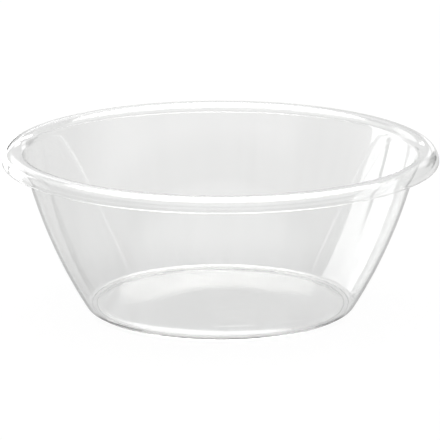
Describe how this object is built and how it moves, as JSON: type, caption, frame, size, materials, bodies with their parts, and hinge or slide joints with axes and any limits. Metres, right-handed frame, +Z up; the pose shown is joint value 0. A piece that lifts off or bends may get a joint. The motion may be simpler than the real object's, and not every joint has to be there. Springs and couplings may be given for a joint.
{
  "type": "mixing bowl",
  "caption": "Round clear plastic mixing bowl with a gently bulging sloped wall, a rolled down-turned rim and a shallow foot ring.",
  "frame": {"origin": "centre of the foot ring, in the plane of the table that it stands on", "axes": "+Z up along the bowl's axis; the bowl is round, so X and Y may point anywhere across it"},
  "size_m": [0.26, 0.26, 0.098],
  "materials": {
    "clear_plastic": "gloss"
  },
  "bodies": {
    "root": {"bowl": "clear_plastic"}
  },
  "joints": []
}
